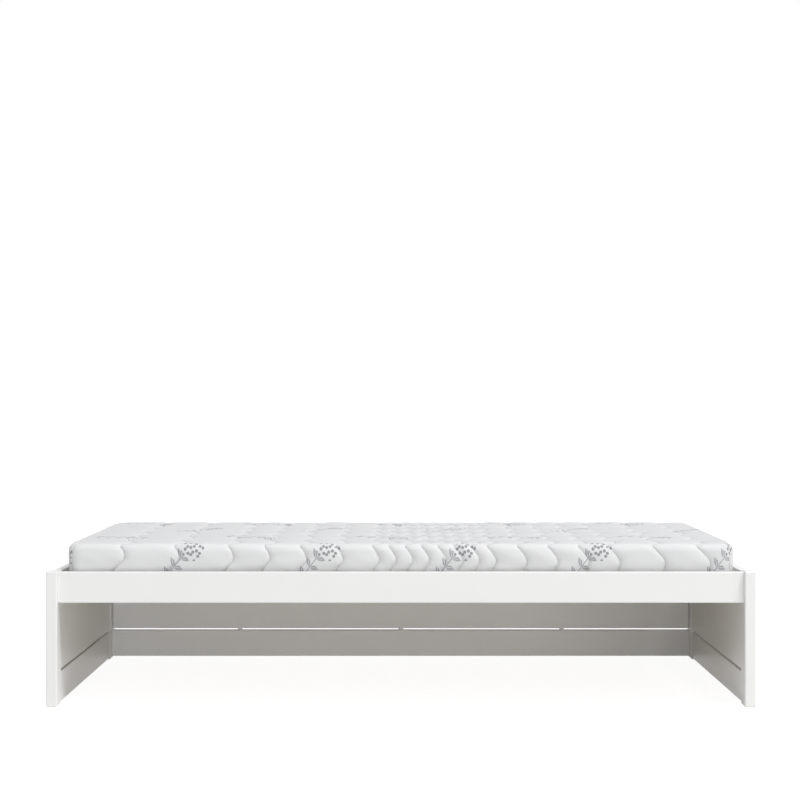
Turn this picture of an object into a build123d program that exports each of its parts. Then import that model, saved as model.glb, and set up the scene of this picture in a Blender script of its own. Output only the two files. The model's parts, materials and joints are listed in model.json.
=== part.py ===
from build123d import *
from math import cos, pi, sin, sqrt
import os

os.makedirs("parts", exist_ok=True)

# A low single bed: two end panels, a front rail, a closed back of two boards, a slatted deck
# and a quilted foam mattress. X runs along the bed, Y from front to back, Z up from the floor.
# The origin is on the floor under the middle of the bed. All sizes are in millimetres.

# The mattress and the room round it set the size of the bed: 2070 long and 1020 deep outside
mattress_length = 1965.0
mattress_width = 900.0
mattress_height = 130.0
mattress_end_gap = 19.5
mattress_front_gap = 10.0
mattress_back_gap = 23.0
mattress_lift_clearance = 0.3

# Posts at the four corners, 395 high, which stand a little above the boards
post_thickness = 33.0
post_top_step = 4.0
front_post_width = 58.0
rear_post_width = 90.0
post_edge_r = 4.5
post_end_edge = 3.0

# Boards of the end panels and of the back, all cut from one thickness
board_thickness = 28.0
board_edge_r = 3.0
floor_clearance = 5.0
lower_board_height = 90.0
board_gap = 6.0
upper_board_height = 290.0
back_recess = 15.0
upper_back_end_gap = 2.0

# Front rail
rail_height = 90.0
rail_drop = 3.0
rail_recess = 16.0

# Dowels that hold the two boards of a panel apart and stay in view in the gap
gap_dowel_d = 16.0
gap_dowel_in_board = 20.0
end_gap_dowel_inset = 85.0
back_gap_dowel_pitch = 560.0

# Loose tongues glued into grooves between the end boards and the posts
tongue_thickness = 9.0
tongue_in_post = 12.0
tongue_in_board = 12.0
tongue_end_margin = 15.0
tongue_clearance = 0.15

# Dowels that keep the low back board from turning on its single bolts
back_dowel_d = 10.0
back_dowel_in_post = 14.0
back_dowel_in_board = 26.0
back_dowel_offset = 26.0

# Flat-headed bolts through the posts, with barrel nuts across the boards
bolt_d = 6.0
bolt_length = 70.0
bolt_head_d = 15.0
bolt_head_height = 3.0
bolt_socket_width = 4.0
bolt_socket_depth = 2.0
nut_d = 10.0
nut_length = 14.0
nut_inset = 30.0
rail_bolt_offset = 25.0
upper_back_bolt_offset = 95.0

# Clearances in the wood: radial round dowels, bolts and nuts, and past their ends
dowel_clearance = 0.1
bolt_clearance = 0.5
nut_clearance = 0.15
end_clearance = 1.0

# Ledgers under the slats, glued to the rail and the back
ledger_height = 20.0
ledger_width = 25.0
ledger_lift = 2.0
ledger_end_inset = 50.0

# Slats and the two webbing tapes that space them
slat_count = 15
slat_width = 68.0
slat_thickness = 16.0
slat_edge = 2.0
slat_side_gap = 4.0
slat_end_offset = 100.0
tape_width = 22.0
tape_thickness = 1.2
tape_spread = 620.0
tape_overhang = 12.0

# Form of the mattress: a quilted cover over a foam core, with a plain panel below
mattress_crown = 4.0
mattress_crown_margin = 180.0
mattress_draw_in = 3.0
mattress_corner_r = 38.0
mattress_top_r = 26.0
edge_facets = 3
cover_thickness = 14.0
cover_top_thickness = 16.0
base_panel_thickness = 4.0
base_panel_inset = 3.0
core_corner_r = 25.0
core_clearance = 0.4

# Quilting channels across the mattress, closer over the hips than at the ends
channel_width = 9.0
channel_depth = 3.0
channel_wave = 14.0
channel_half_wave = 80.0
side_half_wave = 60.0
crest_share = 0.4
first_channel_inset = 169.5
channel_zones = ((2, 159.0), (4, 106.0), (7, 48.4), (4, 89.5), (2, 130.0))
channel_end_margin = 60.0

# Places worked out from the sizes above
inner_face = mattress_length / 2 + mattress_end_gap
half_length = inner_face + post_thickness
post_centre = inner_face + post_thickness / 2
inside_depth = mattress_front_gap + mattress_width + mattress_back_gap
half_depth = (rail_recess + board_thickness + inside_depth + board_thickness + back_recess) / 2
front_joint = front_post_width - half_depth
rear_joint = half_depth - rear_post_width
lower_middle = floor_clearance + lower_board_height / 2
lower_top = floor_clearance + lower_board_height
upper_bottom = lower_top + board_gap
upper_middle = upper_bottom + upper_board_height / 2
post_height = upper_bottom + upper_board_height + post_top_step
rail_middle = post_height - rail_drop - rail_height / 2
rail_centre = rail_recess + board_thickness / 2 - half_depth
rail_inside = rail_recess + board_thickness - half_depth
back_centre = half_depth - back_recess - board_thickness / 2
back_outside = half_depth - back_recess
back_inside = back_outside - board_thickness
ledger_bottom = rail_middle - rail_height / 2 + ledger_lift
ledger_top = ledger_bottom + ledger_height
ledger_length = 2 * (inner_face - ledger_end_inset)
slat_top = ledger_top + slat_thickness
mattress_bottom = slat_top + mattress_lift_clearance
mattress_top = mattress_bottom + mattress_height
mattress_front = rail_inside + mattress_front_gap
mattress_middle = mattress_front + mattress_width / 2
core_height = mattress_height - cover_top_thickness - base_panel_thickness

# Heights of the joints on the posts
rail_bolt_heights = [rail_middle - rail_bolt_offset, rail_middle + rail_bolt_offset]
lower_back_bolt_heights = [lower_middle]
upper_back_bolt_heights = [
    upper_middle - upper_back_bolt_offset,
    upper_middle + upper_back_bolt_offset,
]
back_dowel_heights = [lower_middle - back_dowel_offset, lower_middle + back_dowel_offset]
lower_span = (floor_clearance, lower_top)
upper_span = (upper_bottom, upper_bottom + upper_board_height)
tongue_spans = [(low + tongue_end_margin, high - tongue_end_margin) for low, high in (lower_span, upper_span)]
end_gap_dowel_places = [
    front_joint + end_gap_dowel_inset,
    (front_joint + rear_joint) / 2,
    rear_joint - end_gap_dowel_inset,
]
back_gap_dowel_places = [-back_gap_dowel_pitch, 0, back_gap_dowel_pitch]
sides = {"left": -1, "right": 1}
# Hidden bores and pins have this many flats in place of a true round, which keeps the bed light to draw
round_flats = 12


def facing(x, y, z, outward):
    """A plane on a face of the wood, with its local X pointing up the bed."""
    return Plane(origin=(x, y, z), x_dir=(0, 0, 1), z_dir=outward)


def up_the_face(heights):
    """Places at the given heights on a plane made by facing."""
    return Locations(*[(z, 0) for z in heights])


def bore(radius):
    """A bore's section, whose flats touch the true circle from outside."""
    RegularPolygon(radius, round_flats, major_radius=False)


def pin(radius):
    """A pin's section, whose corners lie on the true circle."""
    RegularPolygon(radius, round_flats)


def save(builder, label):
    """Label a finished piece and write it."""
    builder.part.label = label
    export_step(builder.part, f"parts/{label}.step")


def make_post(side, y_middle, width, joint, joint_outward, bolt_y, bolt_heights, dowel_heights):
    """A corner post: joint is the Y of its face towards the end boards."""
    x_outside = side * half_length
    with BuildPart() as post:
        with BuildSketch(Plane.XY):
            with Locations((side * post_centre, y_middle)):
                RectangleRounded(post_thickness, width, post_edge_r)
        extrude(amount=post_height)
        chamfer(post.faces().sort_by(Axis.Z)[-1].edges(), length=post_end_edge)
        chamfer(post.faces().sort_by(Axis.Z)[0].edges(), length=post_end_edge)
        with BuildSketch(facing(side * post_centre, joint, 0, joint_outward)):
            for low, high in tongue_spans:
                with Locations(((low + high) / 2, 0)):
                    Rectangle(high - low + 2 * end_clearance, tongue_thickness + 2 * tongue_clearance)
        extrude(amount=-(tongue_in_post + end_clearance), mode=Mode.SUBTRACT)
        if dowel_heights:
            with BuildSketch(facing(side * inner_face, bolt_y, 0, (-side, 0, 0))):
                with up_the_face(dowel_heights):
                    bore(back_dowel_d / 2 + dowel_clearance)
            extrude(amount=-(back_dowel_in_post + end_clearance), mode=Mode.SUBTRACT)
        with BuildSketch(facing(x_outside, bolt_y, 0, (side, 0, 0))):
            with up_the_face(bolt_heights):
                bore(bolt_d / 2 + bolt_clearance)
        extrude(amount=-post_thickness, mode=Mode.SUBTRACT)
        with BuildSketch(facing(x_outside, bolt_y, 0, (side, 0, 0))):
            with up_the_face(bolt_heights):
                bore(bolt_head_d / 2 + bolt_clearance)
        extrude(amount=-bolt_head_height, mode=Mode.SUBTRACT)
    return post


def make_front_post(side):
    """A front post, which takes the end of the front rail."""
    y_middle = front_post_width / 2 - half_depth
    return make_post(
        side, y_middle, front_post_width, front_joint, (0, 1, 0), rail_centre, rail_bolt_heights, []
    )


def make_rear_post(side):
    """A rear post, wider than the front one, which takes the ends of both back boards."""
    y_middle = half_depth - rear_post_width / 2
    return make_post(
        side, y_middle, rear_post_width, rear_joint, (0, -1, 0), back_centre,
        lower_back_bolt_heights + upper_back_bolt_heights, back_dowel_heights,
    )


def make_end_board(side, span, tongue_span, gap_edge, gap_outward):
    """A board of an end panel: gap_edge is the height of its edge at the gap."""
    x_middle = side * post_centre
    low, high = span
    tongue_middle = (tongue_span[0] + tongue_span[1]) / 2
    tongue_length = tongue_span[1] - tongue_span[0] + 2 * end_clearance
    with BuildPart() as board:
        with BuildSketch(Plane.XZ.offset(-rear_joint)):
            with Locations((x_middle, (low + high) / 2)):
                RectangleRounded(board_thickness, high - low, board_edge_r)
        extrude(amount=rear_joint - front_joint)
        for joint, outward in ((front_joint, (0, -1, 0)), (rear_joint, (0, 1, 0))):
            with BuildSketch(facing(x_middle, joint, tongue_middle, outward)):
                Rectangle(tongue_length, tongue_thickness + 2 * tongue_clearance)
            extrude(amount=-(tongue_in_board + end_clearance), mode=Mode.SUBTRACT)
        with BuildSketch(Plane(origin=(x_middle, 0, gap_edge), x_dir=(1, 0, 0), z_dir=gap_outward)):
            with Locations(*[(0, gap_outward[2] * y) for y in end_gap_dowel_places]):
                bore(gap_dowel_d / 2 + dowel_clearance)
        extrude(amount=-(gap_dowel_in_board + end_clearance), mode=Mode.SUBTRACT)
    return board


def make_tongues(side):
    """The loose tongues of one end panel, one at each end of each board."""
    length = tongue_in_post + tongue_in_board
    with BuildPart() as tongues:
        for start in (front_joint - tongue_in_post, rear_joint - tongue_in_board):
            with BuildSketch(facing(side * post_centre, start, 0, (0, 1, 0))):
                for low, high in tongue_spans:
                    with Locations(((low + high) / 2, 0)):
                        Rectangle(high - low, tongue_thickness)
            extrude(amount=length)
    return tongues


def bore_board_ends(y_middle, end_face, bolt_heights, dowel_heights, nut_face):
    """Cut the bolt, dowel and barrel nut holes at both ends of the board being built."""
    bolt_reach = bolt_length + bolt_head_height - post_thickness + end_clearance
    nut_reach = nut_face - y_middle + nut_length / 2 + end_clearance
    for side in sides.values():
        end = facing(side * end_face, y_middle, 0, (side, 0, 0))
        if dowel_heights:
            with BuildSketch(end) as dowel_mouths:
                with up_the_face(dowel_heights):
                    bore(back_dowel_d / 2 + dowel_clearance)
            extrude(dowel_mouths.sketch, amount=-(back_dowel_in_board + end_clearance), mode=Mode.SUBTRACT)
        with BuildSketch(end) as bolt_mouths:
            with up_the_face(bolt_heights):
                bore(bolt_d / 2 + bolt_clearance)
        extrude(bolt_mouths.sketch, amount=-bolt_reach, mode=Mode.SUBTRACT)
        with BuildSketch(facing(side * (inner_face - nut_inset), nut_face, 0, (0, 1, 0))) as nut_mouths:
            with up_the_face(bolt_heights):
                bore(nut_d / 2 + nut_clearance)
        extrude(nut_mouths.sketch, amount=-nut_reach, mode=Mode.SUBTRACT)


def make_front_rail():
    """The rail between the front posts, with its long edges rounded."""
    with BuildPart() as rail:
        with BuildSketch(Plane.YZ.offset(-inner_face)):
            with Locations((rail_centre, rail_middle)):
                RectangleRounded(board_thickness, rail_height, board_edge_r)
        extrude(amount=2 * inner_face)
        bore_board_ends(rail_centre, inner_face, rail_bolt_heights, [], rail_inside)
    return rail


def make_back_lower_board():
    """The low board of the back, tight between the rear posts."""
    with BuildPart() as board:
        with BuildSketch(Plane.YZ.offset(-inner_face)):
            with Locations((back_centre, lower_middle)):
                RectangleRounded(board_thickness, lower_board_height, board_edge_r)
        extrude(amount=2 * inner_face)
        bore_board_ends(
            back_centre, inner_face, lower_back_bolt_heights, back_dowel_heights, back_outside
        )
        with BuildSketch(Plane.XY.offset(lower_top)):
            with Locations(*[(x, back_centre) for x in back_gap_dowel_places]):
                bore(gap_dowel_d / 2 + dowel_clearance)
        extrude(amount=-(gap_dowel_in_board + end_clearance), mode=Mode.SUBTRACT)
    return board


def make_back_upper_board():
    """The tall board of the back, with rounded corners and a shadow gap at each end."""
    end_face = inner_face - upper_back_end_gap
    with BuildPart() as board:
        with BuildSketch(Plane.XZ.offset(-back_outside)):
            with Locations((0, upper_middle)):
                RectangleRounded(2 * end_face, upper_board_height, board_edge_r)
        extrude(amount=board_thickness)
        with BuildSketch(Plane.YZ.offset(-end_face)):
            with Locations((back_centre, upper_middle)):
                RectangleRounded(board_thickness, upper_board_height, board_edge_r)
        extrude(amount=2 * end_face, mode=Mode.INTERSECT)
        bore_board_ends(back_centre, end_face, upper_back_bolt_heights, [], back_outside)
        with BuildSketch(Plane.XY.offset(upper_bottom)):
            with Locations(*[(x, back_centre) for x in back_gap_dowel_places]):
                bore(gap_dowel_d / 2 + dowel_clearance)
        extrude(amount=gap_dowel_in_board + end_clearance, mode=Mode.SUBTRACT)
    return board


def make_gap_dowels(places):
    """Upright dowels across the gap between two boards, at the given X and Y places."""
    with BuildPart() as dowels:
        with BuildSketch(Plane.XY.offset(lower_top - gap_dowel_in_board)):
            with Locations(*places):
                pin(gap_dowel_d / 2)
        extrude(amount=board_gap + 2 * gap_dowel_in_board)
    return dowels


def make_back_dowels():
    """The dowels between the rear posts and the ends of the low back board."""
    with BuildPart() as dowels:
        for side in sides.values():
            start = side * (inner_face + back_dowel_in_post)
            with BuildSketch(facing(start, back_centre, 0, (-side, 0, 0))):
                with up_the_face(back_dowel_heights):
                    pin(back_dowel_d / 2)
            extrude(amount=back_dowel_in_post + back_dowel_in_board)
    return dowels


def make_bolts(y_middle, heights):
    """Bolts through both posts, with flat heads let into the outer faces."""
    with BuildPart() as bolts:
        for side in sides.values():
            head = facing(side * half_length, y_middle, 0, (-side, 0, 0))
            with BuildSketch(head):
                with up_the_face(heights):
                    pin(bolt_head_d / 2)
            extrude(amount=bolt_head_height)
            with BuildSketch(head.offset(bolt_head_height)):
                with up_the_face(heights):
                    pin(bolt_d / 2)
            extrude(amount=bolt_length)
            with BuildSketch(head):
                with up_the_face(heights):
                    RegularPolygon(bolt_socket_width / 2, 6, major_radius=False)
            extrude(amount=bolt_socket_depth, mode=Mode.SUBTRACT)
    return bolts


def make_barrel_nuts(y_middle, heights):
    """Barrel nuts lying across the boards, each with the bolt's hole through it."""
    with BuildPart() as nuts:
        for side in sides.values():
            x_middle = side * (inner_face - nut_inset)
            with BuildSketch(facing(x_middle, y_middle, 0, (0, 1, 0))):
                with up_the_face(heights):
                    pin(nut_d / 2)
            extrude(amount=nut_length / 2, both=True)
            with BuildSketch(facing(x_middle, y_middle, 0, (side, 0, 0))):
                with up_the_face(heights):
                    bore(bolt_d / 2 + dowel_clearance)
            extrude(amount=nut_d, both=True, mode=Mode.SUBTRACT)
    return nuts


def make_ledger(y_low):
    """A ledger glued to the rail or the back, which carries the slats' ends."""
    with BuildPart() as ledger:
        with BuildSketch(Plane.YZ.offset(-ledger_length / 2)):
            with Locations((y_low + ledger_width / 2, ledger_bottom + ledger_height / 2)):
                Rectangle(ledger_width, ledger_height)
        extrude(amount=ledger_length)
    return ledger


def slat_places():
    """The X of each slat's middle line."""
    first = slat_end_offset - inner_face
    pitch = -2 * first / (slat_count - 1)
    return [first + pitch * i for i in range(slat_count)]


def make_slat(x_middle):
    """A slat across the bed, with its long edges eased."""
    y_low = rail_inside + slat_side_gap
    y_high = back_inside - slat_side_gap
    with BuildPart() as slat:
        with BuildSketch(Plane.XZ.offset(-y_high)) as section:
            with Locations((x_middle, ledger_top + slat_thickness / 2)):
                Rectangle(slat_width, slat_thickness)
            chamfer(section.vertices(), length=slat_edge)
        extrude(amount=y_high - y_low)
    return slat


def make_tape(y_middle):
    """A webbing tape under the slats, which keeps their spacing."""
    reach = slat_places()[-1] + slat_width / 2 - tape_overhang
    with BuildPart() as tape:
        with BuildSketch(Plane.XY.offset(ledger_top)):
            with Locations((0, y_middle)):
                Rectangle(2 * reach, tape_width)
        extrude(amount=-tape_thickness)
    return tape


def crowned_profile(plane, half_width, middle, bottom, inset):
    """A profile of the mattress: flat below, rounded at the top edges, rising to a plateau."""
    edge_top = mattress_top - mattress_crown - inset
    edge_r = mattress_top_r - inset
    turns = [pi / 2 * i / edge_facets for i in range(edge_facets + 1)]
    half = [(half_width - mattress_crown_margin, mattress_top - inset)]
    half += [(half_width + edge_r * (sin(turn) - 1), edge_top + edge_r * (cos(turn) - 1)) for turn in turns]
    half += [(half_width, bottom)]
    outline = [(middle + across, up) for across, up in half]
    outline += [(middle - across, up) for across, up in reversed(half)]
    with BuildSketch(plane) as profile:
        with BuildLine():
            Polyline(*outline, close=True)
        make_face()
    return profile.sketch


def make_mattress_form(inset, bottom):
    """The mattress's outer form drawn in by inset: crowned, with sides pulled in between corners."""
    half_x = mattress_length / 2 - inset
    half_y = mattress_width / 2 - inset
    draw_x = half_x - mattress_draw_in
    draw_y = half_y - mattress_draw_in
    corners = [
        (-half_x, mattress_middle - half_y), (half_x, mattress_middle - half_y),
        (half_x, mattress_middle + half_y), (-half_x, mattress_middle + half_y),
    ]
    cross_profile = crowned_profile(
        Plane.YZ.offset(-half_x), half_y, mattress_middle, bottom, inset
    )
    long_profile = crowned_profile(
        Plane.XZ.offset(-(mattress_middle + half_y)), half_x, 0, bottom, inset
    )
    with BuildPart() as form:
        with BuildSketch(Plane.XY.offset(bottom)) as outline:
            with BuildLine():
                ThreePointArc(corners[0], (0, mattress_middle - draw_y), corners[1])
                ThreePointArc(corners[1], (draw_x, mattress_middle), corners[2])
                ThreePointArc(corners[2], (0, mattress_middle + draw_y), corners[3])
                ThreePointArc(corners[3], (-draw_x, mattress_middle), corners[0])
            make_face()
            fillet(outline.vertices(), radius=mattress_corner_r - inset)
        extrude(amount=mattress_top - bottom)
        extrude(cross_profile, amount=2 * half_x, mode=Mode.INTERSECT)
        extrude(long_profile, amount=2 * half_y, mode=Mode.INTERSECT)
    return form


def channel_places():
    """The X of each quilting channel, from the left end of the mattress."""
    places = [first_channel_inset - mattress_length / 2]
    for count, pitch in channel_zones:
        for _ in range(count):
            places.append(places[-1] + pitch)
    return [x for x in places if x < mattress_length / 2 - channel_end_margin]


def wave_points(x_middle, start, reach, half_wave, swing):
    """Points of a wave run along Y from start over reach: straight slopes between flat crests.

    The first crest is cut in half by start and lies swing away in X. Each crest takes crest_share
    of a half wave's length."""
    count = round(abs(reach) / half_wave)
    step = reach / count
    points = [(x_middle + swing, start)]
    for i in range(count):
        crest = swing * (-1) ** i
        points.append((x_middle + crest, start + step * (i + crest_share / 2)))
        points.append((x_middle - crest, start + step * (i + 1 - crest_share / 2)))
    points.append((x_middle + swing * (-1) ** count, start + reach))
    return points


def wave_ribbon(plane, places, start, reach, half_wave, swing):
    """A wavy ribbon on a plane for each channel."""
    with BuildSketch(plane) as ribbons:
        for x in places:
            right = wave_points(x + channel_width / 2, start, reach, half_wave, swing)
            left = wave_points(x - channel_width / 2, start, reach, half_wave, swing)
            with BuildLine():
                Polyline(*right, *reversed(left), close=True)
            make_face()
    return ribbons.sketch


def make_mattress_cover():
    """The quilted cover: the outer form with its channels, hollowed for the core from below."""
    # Each channel passes from the top to the side half way round the rounded edge
    turn_inset = mattress_top_r * (1 - sqrt(0.5))
    turn_overlap = 2 * channel_depth
    turn_height = mattress_top - mattress_crown - turn_inset
    front_turn = mattress_front + turn_inset
    rear_turn = mattress_front + mattress_width - turn_inset
    cover_bottom = mattress_bottom + base_panel_thickness
    places = channel_places()
    top_plane = Plane.XY.offset(turn_height - turn_overlap)
    # The waves have a crest at both turns, and the odd number of half waves puts these on opposite sides
    top_waves = wave_ribbon(
        top_plane, places, front_turn, rear_turn - front_turn, channel_half_wave, -channel_wave
    )
    side_reach = cover_bottom - turn_height
    front_plane = Plane(origin=(0, front_turn + turn_overlap, 0), x_dir=(1, 0, 0), z_dir=(0, -1, 0))
    front_waves = wave_ribbon(
        front_plane, places, turn_height, side_reach, side_half_wave, -channel_wave
    )
    rear_plane = Plane(origin=(0, rear_turn + turn_inset, 0), x_dir=(1, 0, 0), z_dir=(0, -1, 0))
    rear_waves = wave_ribbon(
        rear_plane, places, turn_height, side_reach, side_half_wave, channel_wave
    )
    floor = make_mattress_form(channel_depth, cover_bottom)
    with BuildPart() as cover:
        add(make_mattress_form(0, cover_bottom).part)
        extrude(top_waves, amount=mattress_top_r, mode=Mode.SUBTRACT)
        extrude(front_waves, amount=turn_inset + turn_overlap, mode=Mode.SUBTRACT)
        extrude(rear_waves, amount=turn_inset + turn_overlap, mode=Mode.SUBTRACT)
        add(floor.part)
        with BuildSketch(Plane.XY.offset(cover_bottom)):
            with Locations((0, mattress_middle)):
                RectangleRounded(*core_plan(0), core_corner_r)
        extrude(amount=core_height, mode=Mode.SUBTRACT)
    return cover


def core_plan(clearance):
    """The plan of the foam core's space, less a clearance all round."""
    return (
        mattress_length - 2 * (cover_thickness + clearance),
        mattress_width - 2 * (cover_thickness + clearance),
    )


def make_mattress_core():
    """The foam core, a plain block that fills the cover."""
    with BuildPart() as core:
        with BuildSketch(Plane.XY.offset(mattress_bottom + base_panel_thickness)):
            with Locations((0, mattress_middle)):
                RectangleRounded(*core_plan(core_clearance), core_corner_r)
        extrude(amount=core_height - core_clearance)
    return core


def make_mattress_base():
    """The cover's plain underside panel, zipped to the quilted cover all round."""
    with BuildPart() as base:
        with BuildSketch(Plane.XY.offset(mattress_bottom)):
            with Locations((0, mattress_middle)):
                RectangleRounded(
                    mattress_length - 2 * base_panel_inset, mattress_width - 2 * base_panel_inset,
                    mattress_corner_r,
                )
        extrude(amount=base_panel_thickness)
    return base


for name, side in sides.items():
    save(make_front_post(side), f"{name}_front_post")
    save(make_rear_post(side), f"{name}_rear_post")
    save(make_end_board(side, lower_span, tongue_spans[0], lower_top, (0, 0, 1)),
         f"{name}_end_lower_board")
    save(make_end_board(side, upper_span, tongue_spans[1], upper_bottom, (0, 0, -1)),
         f"{name}_end_upper_board")
    save(make_tongues(side), f"{name}_board_tongues")
    save(make_gap_dowels([(side * post_centre, y) for y in end_gap_dowel_places]),
         f"{name}_gap_dowels")

save(make_front_rail(), "front_rail")
save(make_back_lower_board(), "back_lower_board")
save(make_back_upper_board(), "back_upper_board")
save(make_gap_dowels([(x, back_centre) for x in back_gap_dowel_places]), "back_gap_dowels")
save(make_back_dowels(), "back_board_dowels")
save(make_bolts(rail_centre, rail_bolt_heights), "front_rail_bolts")
save(make_bolts(back_centre, lower_back_bolt_heights + upper_back_bolt_heights), "back_board_bolts")
save(make_barrel_nuts(rail_centre, rail_bolt_heights), "front_rail_nuts")
save(make_barrel_nuts(back_centre, lower_back_bolt_heights + upper_back_bolt_heights),
     "back_board_nuts")

save(make_ledger(rail_inside), "front_ledger")
save(make_ledger(back_inside - ledger_width), "rear_ledger")
for i, x in enumerate(slat_places()):
    save(make_slat(x), f"slat_{i + 1:02d}")
save(make_tape(-tape_spread / 2), "front_slat_tape")
save(make_tape(tape_spread / 2), "rear_slat_tape")

save(make_mattress_core(), "mattress_core")
save(make_mattress_base(), "mattress_base_panel")
save(make_mattress_cover(), "mattress_cover")
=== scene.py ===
import json
from math import pi, radians

import bmesh
import bpy
import numpy as np
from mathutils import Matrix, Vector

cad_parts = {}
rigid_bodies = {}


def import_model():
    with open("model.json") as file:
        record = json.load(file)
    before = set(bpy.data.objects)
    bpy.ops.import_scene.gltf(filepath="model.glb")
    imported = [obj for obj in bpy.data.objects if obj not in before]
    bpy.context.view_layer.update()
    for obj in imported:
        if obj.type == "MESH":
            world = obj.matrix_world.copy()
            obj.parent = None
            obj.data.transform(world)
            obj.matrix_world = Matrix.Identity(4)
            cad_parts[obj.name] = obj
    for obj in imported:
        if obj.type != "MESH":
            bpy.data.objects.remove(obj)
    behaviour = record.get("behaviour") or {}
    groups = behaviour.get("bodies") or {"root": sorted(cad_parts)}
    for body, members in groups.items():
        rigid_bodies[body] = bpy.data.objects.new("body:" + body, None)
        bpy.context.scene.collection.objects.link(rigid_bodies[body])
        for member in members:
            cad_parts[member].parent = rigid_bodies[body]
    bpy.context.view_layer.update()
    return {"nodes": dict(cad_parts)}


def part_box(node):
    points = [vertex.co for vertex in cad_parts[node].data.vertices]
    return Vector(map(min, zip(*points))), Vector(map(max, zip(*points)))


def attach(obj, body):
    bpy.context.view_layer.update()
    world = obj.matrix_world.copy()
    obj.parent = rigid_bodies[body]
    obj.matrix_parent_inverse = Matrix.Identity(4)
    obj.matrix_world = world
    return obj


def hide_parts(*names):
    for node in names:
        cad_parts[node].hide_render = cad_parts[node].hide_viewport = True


for leftover in list(bpy.data.objects):
    bpy.data.objects.remove(leftover)
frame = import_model()
nodes = frame["nodes"]


# The room: the bed stands on white paper and is seen level from the front, well above its top.
# A large soft lamp hangs high in front and to the right, a long low one stands near the floor before
# it, and the pale room fills the shadows. Both stand far off, so that the bed's ends are lit alike.

def linear(hex_colour):
    """An sRGB hex colour as linear RGBA.

    A channel c is c / 12.92 up to 0.04045, and ((c + 0.055) / 1.055) ^ 2.4 above it."""
    channels = [int(hex_colour[i:i + 2], 16) / 255 for i in (1, 3, 5)]
    curve = [c / 12.92 if c <= 0.04045 else ((c + 0.055) / 1.055) ** 2.4 for c in channels]
    return curve + [1.0]


def add_node(tree, kind, inputs=None, **settings):
    """Adds a shader node with its settings.

    An input is linked where its value is a socket, and set where it isn't."""
    node = tree.nodes.new(kind)
    for name, value in settings.items():
        setattr(node, name, value)
    for name, value in (inputs or {}).items():
        if isinstance(value, bpy.types.NodeSocket):
            tree.links.new(value, node.inputs[name])
        else:
            node.inputs[name].default_value = value
    return node


def new_material(name):
    """A material with an empty node tree but for its surface shader, and that tree and shader."""
    material = bpy.data.materials.new(name)
    material.use_nodes = True
    tree = material.node_tree
    return material, tree, tree.nodes["Principled BSDF"]


def mesh_piece(name, points, faces, material, cloth=None, marks=None):
    """A mesh from points in millimetres and the faces between them.

    Its doubled points are merged and its faces turned outwards. cloth gives each point's place on
    the flat cloth, in millimetres, and becomes the UV map. marks are named values, one to a point,
    that materials read as attributes."""
    mesh = bpy.data.meshes.new(name)
    mesh.from_pydata((np.asarray(points) / 1000).tolist(), [], np.asarray(faces).tolist())
    if cloth is not None:
        corners = np.empty(len(mesh.loops), np.int32)
        mesh.loops.foreach_get("vertex_index", corners)
        flat = (cloth[corners] / 1000).astype(np.float32)
        mesh.uv_layers.new(name="cloth").data.foreach_set("uv", flat.ravel())
    for mark, values in (marks or {}).items():
        attribute = mesh.attributes.new(mark, "FLOAT", "POINT")
        attribute.data.foreach_set("value", np.asarray(values, np.float32))
    shape = bmesh.new()
    shape.from_mesh(mesh)
    bmesh.ops.remove_doubles(shape, verts=shape.verts, dist=1e-6)
    bmesh.ops.recalc_face_normals(shape, faces=shape.faces)
    shape.to_mesh(mesh)
    shape.free()
    mesh.shade_smooth()
    mesh.materials.append(material)
    piece = bpy.data.objects.new(name, mesh)
    bpy.context.scene.collection.objects.link(piece)
    return piece


def seen_directly(tree):
    """1 for rays from the camera, or by way of a mirror or glass, and 0 for the rays that light things."""
    ray = add_node(tree, "ShaderNodeLightPath").outputs
    mirrored = add_node(tree, "ShaderNodeMath", {
        0: ray["Is Camera Ray"], 1: ray["Is Glossy Ray"],
    }, operation="MAXIMUM")
    any_way = {0: mirrored.outputs[0], 1: ray["Is Transmission Ray"]}
    return add_node(tree, "ShaderNodeMath", any_way, operation="MAXIMUM").outputs[0]


camera = bpy.data.objects.new("camera", bpy.data.cameras.new("camera"))
camera.location = (-0.003, -5.56, 0.895)
camera.rotation_euler = (pi / 2, 0, 0)
camera.data.lens = 78.0
bpy.context.scene.collection.objects.link(camera)
bpy.context.scene.camera = camera
bpy.context.scene.view_settings.view_transform = "Standard"

# Matt uncoated paper with a fine tooth. To the eye it glows a little, so that it runs into the white
# wall without a line and still keeps the bed's shadow
paper_glow = 0.7
paper, tree, shader = new_material("white_seamless_paper")
shader.inputs["Base Color"].default_value = linear("#EDEDEB")
shader.inputs["Roughness"].default_value = 0.9
place = add_node(tree, "ShaderNodeTexCoord").outputs["Object"]
grain = add_node(tree, "ShaderNodeTexNoise", {"Vector": place, "Scale": 1 / 0.0025, "Detail": 3.0})
tooth = add_node(tree, "ShaderNodeBump", {
    "Height": grain.outputs["Fac"], "Strength": 0.05, "Distance": 0.0005,
})
tree.links.new(tooth.outputs["Normal"], shader.inputs["Normal"])
share = add_node(tree, "ShaderNodeMath", {0: seen_directly(tree), 1: paper_glow}, operation="MULTIPLY")
glow = add_node(tree, "ShaderNodeEmission", {"Color": (1, 1, 1, 1), "Strength": 1.3})
sheet = add_node(tree, "ShaderNodeMixShader", {0: share.outputs[0], 1: shader.outputs[0], 2: glow.outputs[0]})
tree.links.new(sheet.outputs[0], tree.nodes["Material Output"].inputs["Surface"])

paper_reach = 60000.0
paper_corners = [(x * paper_reach, y * paper_reach, 0) for x, y in ((-1, -1), (1, -1), (1, 1), (-1, 1))]
floor = mesh_piece("floor_paper", paper_corners, [(0, 1, 2, 3)], paper)

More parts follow.
